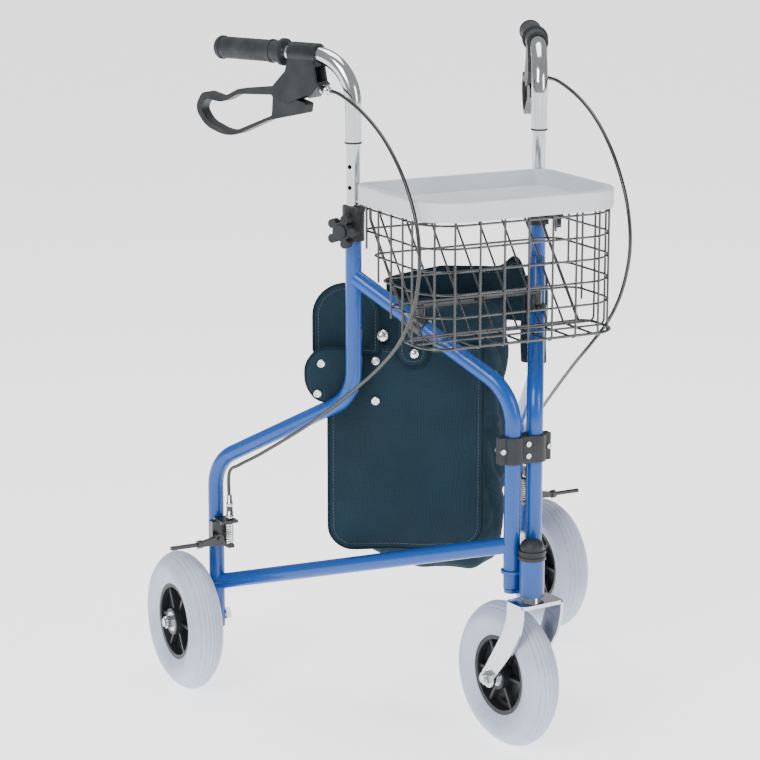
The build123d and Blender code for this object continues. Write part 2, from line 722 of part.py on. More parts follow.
def wire_run(points, corner, radius, closed=False):
    """Sweep a wire into the basket under construction."""
    with BuildLine():
        if corner:
            line = FilletPolyline(*points, radius=corner, close=closed)
        else:
            line = Polyline(*points, close=closed)
    with BuildSketch(Plane(origin=line @ 0, z_dir=line % 0)) as section:
        Circle(radius)
    sweep(section.sketch, path=line)


def basket():
    rings = [(BASKET_TOP, RIM_WIRE)]
    ring_z = COLLAR_TOP_Z + SHELF_CLEAR + MESH_WIRE
    while ring_z > BASKET_BOTTOM + RING_STEP / 2:
        rings.append((ring_z, MESH_WIRE))
        ring_z -= RING_STEP
    rings.append((BASKET_BOTTOM, RIM_WIRE - 0.4))
    proud = 2 * MESH_WIRE - 0.4            # upright wires lie outside the rings, welded to them
    with BuildPart() as mesh:
        for z, wire in rings:
            back = back_at(z)
            corners = [(-BASKET_HALF, BASKET_FRONT, z), (BASKET_HALF, BASKET_FRONT, z),
                       (BASKET_HALF, back, z), (-BASKET_HALF, back, z)]
            bend = min(FRONT_CORNER, (back - BASKET_FRONT) * 0.45)
            with BuildLine():
                ring = FilletPolyline(*corners, radius=[bend, bend, BACK_CORNER, BACK_CORNER],
                                      close=True)
            with BuildSketch(Plane(origin=ring @ 0, z_dir=ring % 0)):
                Circle(wire)
            sweep()
        half = BASKET_HALF + proud
        back = BASKET_BACK + proud
        floor = BASKET_BOTTOM - proud
        for step in range(-3, 4):
            x = step * MESH
            into_corner = max(0, abs(x) - BASKET_HALF + FRONT_CORNER)
            front = BASKET_FRONT - proud + FRONT_CORNER - sqrt(FRONT_CORNER ** 2 - into_corner ** 2)
            wire_run([(x, front, BASKET_TOP), (x, front, floor), (x, BOTTOM_BACK + proud, floor),
                      (x, back, BASKET_KINK), (x, back, BASKET_TOP)], 6, MESH_WIRE)
        for y in (40, 66):
            wire_run([(-half, y, BASKET_TOP), (-half, y, floor + proud), (half, y, floor + proud),
                      (half, y, BASKET_TOP)], 8, MESH_WIRE)
        lean = (BASKET_BACK - BOTTOM_BACK) / (BASKET_KINK - BASKET_BOTTOM)
        for y in (98, 134, 168):
            foot = BASKET_KINK - (BASKET_BACK - y) / lean
            for x in (-half, half):
                wire_run([(x, y, BASKET_TOP), (x, y, foot + 1)], 0, MESH_WIRE)
        bow = FRONT_CORNER * (1 - sqrt(0.5)) - proud * sqrt(0.5)
        for x in (-BASKET_HALF + bow, BASKET_HALF - bow):
            wire_run([(x, BASKET_FRONT + bow, BASKET_TOP), (x, BASKET_FRONT + bow, BASKET_BOTTOM - 3)],
                     0, MESH_WIRE)
        for x in (-BASKET_HALF + 15.5, BASKET_HALF - 15.5):
            wire_run([(x, BASKET_BACK - 6, rings[1][0]), (x, BASKET_BACK - 6, BASKET_KINK),
                      (x, BOTTOM_BACK - 2, BASKET_BOTTOM)], 8, RIM_WIRE - 0.4)
    finish_piece(mesh, "basket")


TRAY_HALF = 150.5
TRAY_FRONT = -12.0
TRAY_BACK = 205.0
TRAY_TOP = 754.0
TRAY_SKIRT = 729.0
TRAY_FLOOR = 731.0
TRAY_WALL = 2.5
FLANGE = 12.5


def tray_outline(inset):
    """Tray outline in plan with wide front corners and tight back corners."""
    half = TRAY_HALF - inset
    front = TRAY_FRONT + inset
    back = TRAY_BACK - inset
    wide = 56 - inset
    tight = 26 - inset
    with BuildLine() as outline:
        FilletPolyline((-half, front), (half, front), (half, back), (-half, back),
                       radius=[wide, wide, tight, tight], close=True)
    make_face(outline.line)


def tray():
    with BuildPart() as pan:
        with BuildSketch(Plane.XY.offset(TRAY_SKIRT)):
            tray_outline(0)
        extrude(amount=TRAY_TOP - TRAY_SKIRT)
        fillet(pan.faces().sort_by(Axis.Z)[-1].edges(), 2.2)
        with BuildSketch(Plane.XY.offset(TRAY_SKIRT)):
            tray_outline(TRAY_WALL)
        extrude(amount=TRAY_TOP - TRAY_WALL - TRAY_SKIRT, mode=Mode.SUBTRACT)
        with BuildSketch(Plane.XY.offset(TRAY_FLOOR)):
            tray_outline(FLANGE - TRAY_WALL)
        extrude(amount=TRAY_TOP - 1 - TRAY_FLOOR)
        with BuildSketch(Plane.XY.offset(TRAY_FLOOR + TRAY_WALL)):
            tray_outline(FLANGE)
        extrude(amount=TRAY_TOP - TRAY_FLOOR, mode=Mode.SUBTRACT)
    finish_piece(pan, "tray")


# ---- folding brace ---------------------------------------------------------------------------
# Two flat links above the diagonals; all their pivots are upright.
LINK_T = 3.0
LINK_HALF = 6.5
SADDLE_R = 14.0
BRACE_GAP = 0.5


def brace():
    tube_z = POST_CORNER_Z + DIAGONAL_SLOPE * BRACE_U
    reach = -on_frame(BRACE_U, 0)[0]
    for name, side in SIDES:
        centre = Vector(*mirror_x(on_frame(BRACE_U, tube_z), side))
        run = Vector(*mirror_x((*FRAME_DIR, DIAGONAL_SLOPE), side)).normalized()
        level = BRACE_Z if name == "left" else BRACE_Z + LINK_T + BRACE_GAP
        pivot = Plane(origin=(centre.X, centre.Y, 0))
        with BuildPart() as saddle:
            with BuildSketch(Plane(origin=centre - run * 9, z_dir=run)):
                Circle(SADDLE_R)
            extrude(amount=18)
            with BuildSketch(pivot.offset(tube_z)):
                Circle(7)
            extrude(amount=level - BRACE_GAP - tube_z)
            with BuildSketch(pivot.offset(tube_z)):
                Circle(3)
            extrude(amount=level + LINK_T + BRACE_GAP - tube_z)
            with BuildSketch(pivot.offset(level + LINK_T + BRACE_GAP)):
                Circle(5)
            extrude(amount=2)
            with BuildSketch(Plane(origin=centre - run * 30, z_dir=run)):
                Circle(TUBE_R)
            extrude(amount=60, mode=Mode.SUBTRACT)
        finish_piece(saddle, f"{name}_brace_saddle")
        with BuildPart() as link:
            with BuildSketch(Plane(origin=(centre.X * 0.5, centre.Y, level))):
                SlotCenterToCenter(reach, 2 * LINK_HALF)
                with Locations((centre.X * 0.5, 0)):
                    Circle(3 + FIT, mode=Mode.SUBTRACT)
            extrude(amount=LINK_T)
            if name == "left":
                with BuildSketch(Plane(origin=(0, centre.Y, level - 2))):
                    Circle(5)
                extrude(amount=2)
            else:
                with BuildSketch(Plane(origin=(0, centre.Y + 2, level + LINK_T))):
                    RectangleRounded(26, 9, 3)
                extrude(amount=4)
        finish_piece(link, f"{name}_brace_link")


# ---- bag -----------------------------------------------------------------------------------------
BAG_BOTTOM = 186.0
BAG_TOP = 572.0
BAG_CORNER = (-146.0, 263.0)        # the front panel's left edge, in plan
BAG_DIR = (0.888, -0.460)           # and the way that panel runs


def bag():
    """The space the hanging fabric bag fills: it hangs askew between the side frames."""
    sections = (
        (BAG_BOTTOM, ((110, 26), (200, 26), (204, 44), (196, 66), (112, 66))),
        (240, ((2, 2), (200, 2), (236, 48), (232, 96), (8, 96))),
        (540, ((2, 2), (200, 2), (238, 48), (234, 98), (8, 98))),
        (BAG_TOP, ((14, 14), (192, 14), (226, 50), (222, 88), (20, 88))),
    )
    with BuildPart() as body:
        for z, outline in sections:
            with BuildSketch(Plane(origin=(*BAG_CORNER, z), x_dir=(*BAG_DIR, 0))):
                Polygon(*outline, align=None)
        loft(ruled=True)
    finish_piece(body, "bag")


front_stem()
caster()
for side_name, side_sign in SIDES:
    side_frame(side_name, side_sign)
    brake(side_name, side_sign)
    handle(side_name, side_sign)
    cable(side_name, side_sign)
basket()
tray()
brace()
bag()
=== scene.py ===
import json
import math

import bpy
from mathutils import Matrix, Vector, noise
from mathutils.bvhtree import BVHTree


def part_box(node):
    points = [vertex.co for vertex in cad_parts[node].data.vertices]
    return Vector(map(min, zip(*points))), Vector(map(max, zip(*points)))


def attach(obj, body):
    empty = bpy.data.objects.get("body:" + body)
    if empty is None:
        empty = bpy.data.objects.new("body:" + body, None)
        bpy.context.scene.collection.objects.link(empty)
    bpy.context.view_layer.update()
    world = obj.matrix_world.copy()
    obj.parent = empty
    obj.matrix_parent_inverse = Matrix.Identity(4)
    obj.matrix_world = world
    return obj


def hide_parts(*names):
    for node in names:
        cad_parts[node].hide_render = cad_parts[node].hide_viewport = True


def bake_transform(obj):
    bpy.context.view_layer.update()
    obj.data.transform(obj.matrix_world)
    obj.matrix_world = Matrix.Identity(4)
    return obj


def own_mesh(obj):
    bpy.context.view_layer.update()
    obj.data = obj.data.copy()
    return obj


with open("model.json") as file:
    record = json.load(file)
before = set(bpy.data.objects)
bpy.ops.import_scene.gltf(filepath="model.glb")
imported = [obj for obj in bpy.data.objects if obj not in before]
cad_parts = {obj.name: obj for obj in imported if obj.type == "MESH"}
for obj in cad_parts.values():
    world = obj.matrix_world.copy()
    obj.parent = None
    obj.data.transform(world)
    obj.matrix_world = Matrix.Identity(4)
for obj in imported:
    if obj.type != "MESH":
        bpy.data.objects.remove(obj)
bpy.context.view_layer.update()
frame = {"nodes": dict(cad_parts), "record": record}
nodes = frame["nodes"]
scene = bpy.context.scene

MM = 0.001
SIDES = (("left", -1), ("right", 1))


# ---------------------------------------------------------------- materials


class Shader:
    """A Principled material with short calls for the nodes that most finishes share."""

    def __init__(self, name, colour, roughness, metallic=0.0, **sockets):
        self.material = bpy.data.materials.new(name)
        self.material.use_nodes = True
        self.tree = self.material.node_tree
        self.bsdf = self.tree.nodes["Principled BSDF"]
        self.bsdf.inputs["Base Color"].default_value = (*colour, 1)
        self.bsdf.inputs["Roughness"].default_value = roughness
        self.bsdf.inputs["Metallic"].default_value = metallic
        for socket, value in sockets.items():
            self.bsdf.inputs[socket.replace("_", " ")].default_value = value
        self.place = self.node("ShaderNodeTexCoord").outputs["Object"]
        self.last_normal = None

    def node(self, kind, **values):
        made = self.tree.nodes.new(kind)
        for key, value in values.items():
            if key in made.inputs:
                made.inputs[key].default_value = value
            else:
                setattr(made, key, value)
        return made

    def link(self, a, b):
        self.tree.links.new(a, b)

    def noise(self, scale, detail=3.0, rough=0.5):
        made = self.node("ShaderNodeTexNoise", Scale=scale, Detail=detail, Roughness=rough)
        self.link(self.place, made.inputs["Vector"])
        return made.outputs["Fac"]

    def ramp(self, fac, stops):
        made = self.node("ShaderNodeValToRGB")
        self.link(fac, made.inputs["Fac"])
        ramp = made.color_ramp
        while len(ramp.elements) < len(stops):
            ramp.elements.new(0.5)
        for element, (place, colour) in zip(ramp.elements, stops):
            element.position = place
            element.color = (*colour, 1)
        return made.outputs["Color"]

    def tint(self, fac, stops):
        self.link(self.ramp(fac, stops), self.bsdf.inputs["Base Color"])
        return self

    def gloss(self, fac, low, high):
        made = self.node("ShaderNodeMapRange")
        self.link(fac, made.inputs["Value"])
        made.inputs["From Min"].default_value = 0.3
        made.inputs["From Max"].default_value = 0.7
        made.inputs["To Min"].default_value = low
        made.inputs["To Max"].default_value = high
        self.link(made.outputs["Result"], self.bsdf.inputs["Roughness"])
        return self

    def bump(self, height, depth, strength=1.0):
        made = self.node("ShaderNodeBump", Strength=strength, Distance=depth)
        self.link(height, made.inputs["Height"])
        if self.last_normal is not None:
            self.link(self.last_normal, made.inputs["Normal"])
        self.last_normal = made.outputs["Normal"]
        self.link(self.last_normal, self.bsdf.inputs["Normal"])
        return self

    def wave(self, axis, pitch):
        made = self.node("ShaderNodeTexWave")
        made.bands_direction = axis
        made.inputs["Scale"].default_value = math.pi / (pitch * 20)
        made.inputs["Detail"].default_value = 0
        self.link(self.place, made.inputs["Vector"])
        return made.outputs["Fac"]

    def math(self, operation, a, b):
        made = self.node("ShaderNodeMath", operation=operation)
        for socket, value in zip(made.inputs, (a, b)):
            if isinstance(value, (int, float)):
                socket.default_value = value
            else:
                self.link(value, socket)
        return made.outputs[0]


def scaled(colour, amount):
    return tuple(min(1.0, channel * amount) for channel in colour)


BLUE = (0.002, 0.062, 0.30)
paint = Shader("blue_paint", BLUE, 0.3, 0.0, Specular_IOR_Level=0.35, Coat_Weight=0.3, Coat_Roughness=0.05)
paint.tint(paint.noise(6, 2), [(0.3, scaled(BLUE, 0.94)), (0.7, scaled(BLUE, 1.06))])
paint.gloss(paint.noise(40, 2), 0.26, 0.34).bump(paint.noise(260, 1), 0.00012, 0.08)

chrome = Shader("chrome", (0.60, 0.62, 0.64), 0.09, 1.0)
chrome.tint(chrome.noise(14, 3), [(0.3, (0.54, 0.56, 0.58)), (0.7, (0.66, 0.68, 0.70))])
chrome.gloss(chrome.noise(90, 5), 0.05, 0.16).bump(chrome.noise(160, 2), 0.0002, 0.06)

zinc = Shader("zinc_steel", (0.56, 0.57, 0.58), 0.3, 1.0)
zinc.gloss(zinc.noise(220, 5), 0.2, 0.42).bump(zinc.noise(700, 3), 0.0002, 0.2)

black = Shader("black_plastic", (0.016, 0.018, 0.02), 0.42, 0.0, Specular_IOR_Level=0.3)
black.tint(black.noise(30, 4), [(0.3, (0.012, 0.014, 0.016)), (0.7, (0.03, 0.033, 0.036))])
black.gloss(black.noise(60, 4), 0.34, 0.5).bump(black.noise(1500, 2), 0.00025, 0.35)

grip_rubber = Shader("grip_vinyl", (0.022, 0.024, 0.028), 0.5, Specular_IOR_Level=0.3)
grip_rubber.tint(grip_rubber.noise(45, 4), [(0.3, (0.014, 0.016, 0.019)), (0.7, (0.036, 0.039, 0.045))])
grip_rubber.gloss(grip_rubber.noise(80, 3), 0.42, 0.6).bump(grip_rubber.noise(1100, 3), 0.0004, 0.5)

TYRE = (0.44, 0.49, 0.62)
tyre = Shader("tyre_grey", TYRE, 0.5)
tyre.tint(tyre.noise(18, 5), [(0.3, scaled(TYRE, 0.9)), (0.7, scaled(TYRE, 1.1))])
tyre.gloss(tyre.noise(70, 4), 0.42, 0.62).bump(tyre.noise(900, 3), 0.0004, 0.35)

TRAY = (0.60, 0.63, 0.67)
tray_plastic = Shader("tray_grey", TRAY, 0.38)
tray_plastic.tint(tray_plastic.noise(12, 4), [(0.3, scaled(TRAY, 0.95)), (0.7, scaled(TRAY, 1.06))])
tray_plastic.gloss(tray_plastic.noise(50, 4), 0.32, 0.46).bump(tray_plastic.noise(1300, 2), 0.0002, 0.3)

wire = Shader("black_wire", (0.012, 0.013, 0.015), 0.25, Coat_Weight=0.5, Coat_Roughness=0.12)
wire.tint(wire.noise(120, 3), [(0.3, (0.008, 0.009, 0.01)), (0.7, (0.022, 0.024, 0.027))])
wire.gloss(wire.noise(140, 4), 0.18, 0.34).bump(wire.noise(500, 2), 0.0004, 0.3)

black_steel = Shader("black_steel", (0.014, 0.015, 0.016), 0.3, 0.2, Coat_Weight=0.4, Coat_Roughness=0.2)
black_steel.gloss(black_steel.noise(80, 4), 0.24, 0.42).bump(black_steel.noise(600, 2), 0.0003, 0.25)

sheath = Shader("cable_black", (0.01, 0.011, 0.012), 0.28, Coat_Weight=0.3)
sheath.gloss(sheath.noise(90, 4), 0.2, 0.38).bump(sheath.noise(700, 2), 0.0002, 0.2)

FABRIC = (0.0105, 0.027, 0.040)
FABRIC_YARN = 0.9 * MM


def woven(name, colour):
    cloth = Shader(name, colour, 0.8, Specular_IOR_Level=0.12, Sheen_Weight=0.05, Sheen_Roughness=0.45)
    across = cloth.wave("X", FABRIC_YARN)
    up = cloth.wave("Z", FABRIC_YARN)
    deep = cloth.wave("Y", FABRIC_YARN)
    weave = cloth.math("MULTIPLY", cloth.math("MAXIMUM", across, deep), up)
    patch = cloth.noise(9, 5, 0.6)
    mottled = cloth.math("MULTIPLY", patch, 0.7)
    shade = cloth.math("ADD", mottled, cloth.math("MULTIPLY", weave, 0.3))
    cloth.tint(shade, [(0.2, scaled(colour, 0.62)), (0.75, scaled(colour, 1.35))])
    cloth.gloss(patch, 0.66, 0.88)
    cloth.bump(cloth.noise(26, 4), 0.004, 0.25).bump(weave, 0.0005, 0.5)
    return cloth


fabric = woven("bag_fabric", FABRIC)
binding_tape = woven("bag_binding", scaled(FABRIC, 0.6))
thread = Shader("bag_thread", (0.05, 0.07, 0.08), 0.6, Sheen_Weight=0.2)
thread.tint(thread.noise(900, 2), [(0.3, (0.03, 0.045, 0.055)), (0.7, (0.08, 0.10, 0.115))])
nickel = Shader("snap_nickel", (0.82, 0.82, 0.80), 0.18, 1.0)
nickel.gloss(nickel.noise(300, 4), 0.12, 0.3).bump(nickel.noise(900, 2), 0.0001, 0.15)
clip_white = Shader("clip_white", (0.75, 0.76, 0.78), 0.4)
clip_white.gloss(clip_white.noise(200, 3), 0.3, 0.5)

FINISH = {
    "blue_paint": paint,
    "chrome": chrome,
    "black_plastic": black,
    "black_vinyl": grip_rubber,
    "tyre_grey": tyre,
    "tray_grey": tray_plastic,
    "black_wire": wire,
    "zinc_steel": zinc,
    "black_steel": black_steel,
    "cable_black": sheath,
    "bag_fabric": fabric,
}

for part in frame["record"]["subparts"]:
    piece = nodes[part["node"]]
    piece.data.materials.clear()
    piece.data.materials.append(FINISH[part["material_slot"]].material)


# ---------------------------------------------------------------- mesh tools


def new_mesh(name, points, faces, shader, body, smooth=True):
    mesh = bpy.data.meshes.new(name)
    mesh.from_pydata([tuple(p) for p in points], [], faces)
    mesh.update()
    piece = bpy.data.objects.new(name, mesh)
    scene.collection.objects.link(piece)
    mesh.materials.append(shader.material)
    for polygon in mesh.polygons:
        polygon.use_smooth = smooth
    if body:
        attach(piece, body)
    return piece


def baked(piece):
    """The piece with its modifiers applied."""
    bpy.context.view_layer.update()
    graph = bpy.context.evaluated_depsgraph_get()
    mesh = bpy.data.meshes.new_from_object(piece.evaluated_get(graph))
    piece.modifiers.clear()
    old = piece.data
    piece.data = mesh
    bpy.data.meshes.remove(old)
    return piece


def axes_for(direction):
    direction = Vector(direction).normalized()
    side = direction.cross(Vector((0, 0, 1)))
    if side.length < 0.01:
        side = direction.cross(Vector((1, 0, 0)))
    side.normalize()
    return side, side.cross(direction).normalized(), direction


def lathe(profile, centre, direction, turns=32):
    """Points and faces of a profile of (radius, height) turned about a direction."""
    side, up, ahead = axes_for(direction)
    points, faces = [], []
    for radius, height in profile:
        for k in range(turns):
            angle = math.tau * k / turns
            ring = side * math.cos(angle) + up * math.sin(angle)
            points.append(Vector(centre) + ring * radius + ahead * height)
    for row in range(len(profile) - 1):
        for k in range(turns):
            a = row * turns + k
            b = row * turns + (k + 1) % turns
            faces.append((a, b, b + turns, a + turns))
    faces.append(tuple(reversed(range(turns))))
    faces.append(tuple(range(len(points) - turns, len(points))))
    return points, faces


def swept(path, radii, turns=12, closed=False):
    """Points and faces of a tube along a path, its radius (across, up) given once or per point."""
    path = [Vector(p) for p in path]
    count = len(path)
    points, faces = [], []
    previous = None
    for index, centre in enumerate(path):
        ahead = path[(index + 1) % count] if closed else path[min(index + 1, count - 1)]
        behind = path[index - 1] if closed or index else path[0]
        tangent = (ahead - behind).normalized()
        if previous is None:
            side, up, _ = axes_for(tangent)
        else:
            side = (previous - tangent * previous.dot(tangent)).normalized()
            up = side.cross(tangent).normalized()
        previous = side
        wide, tall = radii[index] if isinstance(radii, list) else radii
        for k in range(turns):
            angle = math.tau * k / turns
            points.append(centre + side * math.cos(angle) * wide + up * math.sin(angle) * tall)
    for row in range(count if closed else count - 1):
        following = (row + 1) % count
        for k in range(turns):
            faces.append(
                (row * turns + k, row * turns + (k + 1) % turns,
                 following * turns + (k + 1) % turns, following * turns + k)
            )
    if not closed:
        faces.append(tuple(reversed(range(turns))))
        faces.append(tuple(range(len(points) - turns, len(points))))
    return points, faces


def join(*meshes):
    points, faces = [], []
    for more_points, more_faces in meshes:
        start = len(points)
        points += more_points
        faces += [tuple(i + start for i in face) for face in more_faces]
    return points, faces


# ---------------------------------------------------------------- bag

# The bag hangs askew between the side frames. Its own axes: s runs along the flap from its
# left edge, d goes back from the flap, z is up. All in millimetres.
BAG_CORNER = Vector((-146.0, 263.0, 0.0))
ALONG = Vector((0.888, -0.460, 0.0))
BACK = Vector((0.460, 0.888, 0.0))
FLAP_WIDTH = 214.0
FLAP_LEFT = -10.0
FLAP_LOW = 232.0
FLAP_HIGH = 520.0
FLAP_CORNER = 34.0


def bag_point(s, d, z):
    place = BAG_CORNER + ALONG * s + BACK * d
    return Vector((place.x, place.y, z)) * MM


def chaikin(corners, rounds=3):
    for _ in range(rounds):
        smoothed = []
        for a, b in zip(corners, corners[1:] + corners[:1]):
            smoothed += [a.lerp(b, 0.22), a.lerp(b, 0.78)]
        corners = smoothed
    return corners


def resampled(loop, count):
    lengths = [0.0]
    for a, b in zip(loop, loop[1:] + loop[:1]):
        lengths.append(lengths[-1] + (b - a).length)
    ends = loop + loop[:1]
    result = []
    segment = 0
    for k in range(count):
        goal = lengths[-1] * k / count
        while lengths[segment + 1] < goal:
            segment += 1
        share = (goal - lengths[segment]) / (lengths[segment + 1] - lengths[segment])
        result.append(ends[segment].lerp(ends[segment + 1], share))
    return result


# (z, left, right, front, back) of the bag's level sections, bottom to top
SECTIONS = (
    (187, 118, 196, 30, 62),
    (196, 88, 222, 20, 74),
    (214, 48, 234, 10, 86),
    (240, 8, 238, 4, 94),
    (280, 0, 240, 2, 98),
    (350, -2, 242, 2, 100),
    (430, 0, 242, 2, 100),
    (500, 4, 240, 4, 98),
    (548, 8, 238, 10, 94),
    (570, 16, 232, 20, 88),
)
LOOP = 96


def bag_body():
    points, faces = [], []
    for z, left, right, front, back in SECTIONS:
        wide, deep = right - left, back - front
        corners = [
            Vector((left, front + 0.1 * deep, 0)),
            Vector((left + 0.06 * wide, front, 0)),
            Vector((left + 0.82 * wide, front, 0)),
            Vector((left + 0.9 * wide, front + 0.12 * deep, 0)),
            Vector((right, front + 0.62 * deep, 0)),
            Vector((right - 0.02 * wide, back, 0)),
            Vector((left + 0.12 * wide, back, 0)),
            Vector((left + 0.02 * wide, front + 0.75 * deep, 0)),
        ]
        for place in resampled(chaikin(corners), LOOP):
            points.append(bag_point(place.x, place.y, z))
    for row in range(len(SECTIONS) - 1):
        for k in range(LOOP):
            a, b = row * LOOP + k, row * LOOP + (k + 1) % LOOP
            faces.append((a, b, b + LOOP, a + LOOP))
    faces.append(tuple(reversed(range(LOOP))))
    faces.append(tuple(range(len(points) - LOOP, len(points))))
    body = new_mesh("bag_body", points, faces, fabric, None)
    remesh = body.modifiers.new("remesh", "REMESH")
    remesh.mode = "VOXEL"
    remesh.voxel_size = 6 * MM
    remesh.use_smooth_shade = True
    baked(body)
    rest = [v.co.copy() for v in body.data.vertices]
    held = body.vertex_groups.new(name="held")
    high = [v.index for v in body.data.vertices if v.co.z > 0.552]
    held.add(high, 1.0, "REPLACE")
    cloth = body.modifiers.new("cloth", "CLOTH")
    settings = cloth.settings
    settings.quality = 4
    settings.mass = 0.25
    settings.tension_stiffness = 12
    settings.compression_stiffness = 6
    settings.bending_stiffness = 0.25
    settings.use_pressure = True
    settings.uniform_pressure_force = 3.0
    settings.effector_weights.gravity = 0
    settings.vertex_group_mass = "held"
    cloth.collision_settings.use_collision = False
    for step in range(1, 17):
        scene.frame_set(step)
    baked(body)
    scene.frame_set(1)
    for vertex, was in zip(body.data.vertices, rest):
        moved = vertex.co - was
        if moved.length > 9 * MM:
            moved *= 9 * MM / moved.length
        vertex.co = was + moved
    crease_bag(body)
    smooth = body.modifiers.new("subdivision", "SUBSURF")
    smooth.levels = smooth.render_levels = 1
    baked(body)
    for polygon in body.data.polygons:
        polygon.use_smooth = True
    return body


def crease_bag(body):
    """Hanging folds: long upright ones in the right gusset, sagging ones in the pouch."""
    body.data.update()
    normals = [v.normal.copy() for v in body.data.vertices]
    for vertex, normal in zip(body.data.vertices, normals):
        place = vertex.co / MM - BAG_CORNER
        s, d, z = place.dot(ALONG), place.dot(BACK), vertex.co.z / MM
        gusset = max(0.0, min(1.0, (s - 196) / 26)) * max(0.0, min(1.0, (z - 230) / 60))
        lean = d * 0.9 + (z - 380) * 0.22 + 9 * noise.noise(Vector((s, d, z)) * 0.012)
        fold = math.sin(lean * 0.26) + 0.4 * math.sin(lean * 0.61 + 1.3)
        pouch = max(0.0, min(1.0, (262 - z) / 60))
        sag = math.sin(s * 0.085 + z * 0.09 + 2 * noise.noise(Vector((s, d, z)) * 0.02))
        upper = max(0.0, min(1.0, (z - 505) / 40))
        pleat = math.sin(s * 0.16 + 2.5 * noise.noise(Vector((s, d, z)) * 0.015))
        crumple = noise.noise(Vector((s, d, z)) * 0.022)
        folds = 3.6 * gusset * fold + 1.8 * pouch * sag + 2.2 * upper * pleat + 2.4 * crumple
        vertex.co += normal * MM * folds


body = bag_body()
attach(body, "stem")
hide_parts("bag")


def body_tree():
    mesh = body.data
    return BVHTree.FromPolygons([v.co for v in mesh.vertices], [tuple(p.vertices) for p in mesh.polygons])


TREE = body_tree()


def front_depth(s, z, fallback):
    """How far back from the flap plane the bag's front lies, seen from the front."""
    start = bag_point(s, -90, z)
    hit, _, _, distance = TREE.ray_cast(start, BACK)
    return -90 + distance / MM if hit is not None else fallback


def sheet_piece(name, columns, rows, place, thickness, shader, body_name):
    """A closed thin sheet: place(i, j) gives the middle of its thickness and its outward side."""
    front, back = [], []
    for j in range(rows + 1):
        for i in range(columns + 1):
            middle, outward = place(i / columns, j / rows)
            front.append(middle + outward * thickness / 2)
            back.append(middle - outward * thickness / 2)
    points = front + back
    wide = columns + 1
    offset = len(front)
    faces = []
    for j in range(rows):
        for i in range(columns):
            a = j * wide + i
            faces.append((a, a + 1, a + 1 + wide, a + wide))
            faces.append((a + offset, a + wide + offset, a + 1 + wide + offset, a + 1 + offset))
    rim = [i for i in range(wide)]
    rim += [j * wide + columns for j in range(1, rows + 1)]
    rim += [rows * wide + i for i in range(columns - 1, -1, -1)]
    rim += [j * wide for j in range(rows - 1, 0, -1)]
    for a, b in zip(rim, rim[1:] + rim[:1]):
        faces.append((a, a + offset, b + offset, b))
    return new_mesh(name, points, faces, shader, body_name)


def panel_edges(u, v, left, right, low, high, corner_low, corner_high):
    """A point of a rounded rectangle's grid: (s, z)."""
    z = low + (high - low) * v
    inset = 0.0
    if z < low + corner_low:
        inset = corner_low - math.sqrt(max(0.0, corner_low**2 - (low + corner_low - z) ** 2))
    if z > high - corner_high:
        inset = corner_high - math.sqrt(max(0.0, corner_high**2 - (z - high + corner_high) ** 2))
    return left + inset + (right - left - 2 * inset) * u, z


FINAL_SMOOTHING = 3


def averaged(grid):
    """Every cell of a grid as the mean of its 3 x 3 neighbourhood, its edge cells repeated."""
    rows, columns = len(grid) - 1, len(grid[0]) - 1
    return [
        [
            sum(
                grid[max(0, min(rows, j + q))][max(0, min(columns, i + p))]
                for p in (-1, 0, 1)
                for q in (-1, 0, 1)
            )
            / 9
            for i in range(columns + 1)
        ]
        for j in range(rows + 1)
    ]


class Drape:
    """A panel lying on the bag's front: its depth is smoothed from what lies behind it."""

    def __init__(self, left, right, low, high, lift, step=6.0, smooth=10, wave=0.0):
        self.left, self.low, self.step = left, low, step
        self.columns = int((right - left) / step) + 1
        self.rows = int((high - low) / step) + 1
        grid = [
            [front_depth(left + i * step, low + j * step, None) for i in range(self.columns + 1)]
            for j in range(self.rows + 1)
        ]
        known = [d for row in grid for d in row if d is not None]
        middle = sum(known) / len(known)
        grid = [[middle if d is None else min(d, middle + 25) for d in row] for row in grid]
        for _ in range(smooth):
            calm = averaged(grid)
            grid = [[min(old, new) for old, new in zip(*rows)] for rows in zip(grid, calm)]
        for _ in range(FINAL_SMOOTHING):
            grid = averaged(grid)
        self.grid, self.lift, self.wave = grid, lift, wave

    def depth(self, s, z):
        x = max(0.0, min(self.columns - 1e-6, (s - self.left) / self.step))
        y = max(0.0, min(self.rows - 1e-6, (z - self.low) / self.step))
        i, j = int(x), int(y)
        fx, fy = x - i, y - j
        g = self.grid
        flat = (g[j][i] * (1 - fx) + g[j][i + 1] * fx) * (1 - fy) + (
            g[j + 1][i] * (1 - fx) + g[j + 1][i + 1] * fx
        ) * fy
        ripple = noise.noise(Vector((s * 0.018, z * 0.012, 3.1))) * self.wave
        return flat - self.lift + ripple

    def point(self, s, z, above=0.0):
        return bag_point(s, self.depth(s, z) - above, z)

    def outward(self, s, z):
        across = self.point(s + 2, z) - self.point(s - 2, z)
        up = self.point(s, z + 2) - self.point(s, z - 2)
        return across.cross(up).normalized()


def bound_edge(name, drape, outline):
    """Binding tape folded over a panel's edge."""
    path = [drape.point(s, z) for s, z in outline]
    points, faces = swept(path, (2.1 * MM, 1.7 * MM), 10)
    return new_mesh(name, points, faces, binding_tape, "stem")


